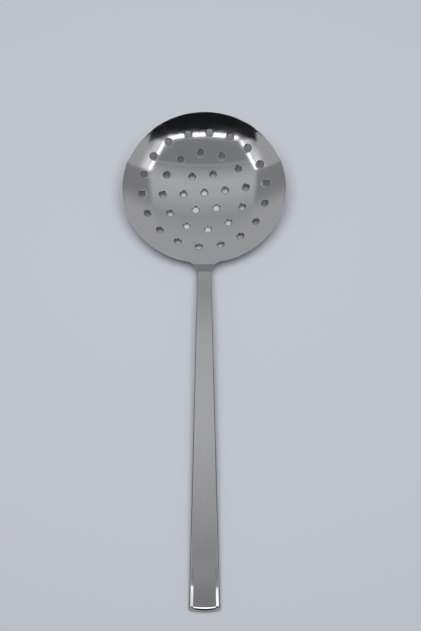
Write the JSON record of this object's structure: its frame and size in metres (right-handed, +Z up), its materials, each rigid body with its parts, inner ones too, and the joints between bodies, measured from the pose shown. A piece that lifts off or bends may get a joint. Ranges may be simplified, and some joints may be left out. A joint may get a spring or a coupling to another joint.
{
  "type": "serving colander",
  "caption": "Stainless steel serving colander: a shallow perforated dish on a long flat tapering handle.",
  "frame": {"origin": "middle of the overall length and width, on the table plane that the dish's bottom and the handle's tip rest on", "axes": "+Y from the handle's tip to the dish, +Z up from the table, +X to the right seen from the handle's tip"},
  "size_m": [0.111, 0.3386, 0.0206],
  "materials": {
    "dish_steel": "polished",
    "handle_steel": "satin",
    "weld_steel": "satin"
  },
  "bodies": {
    "root": {"bowl": "dish_steel", "handle": "handle_steel", "neck_weld": "weld_steel"}
  },
  "joints": []
}
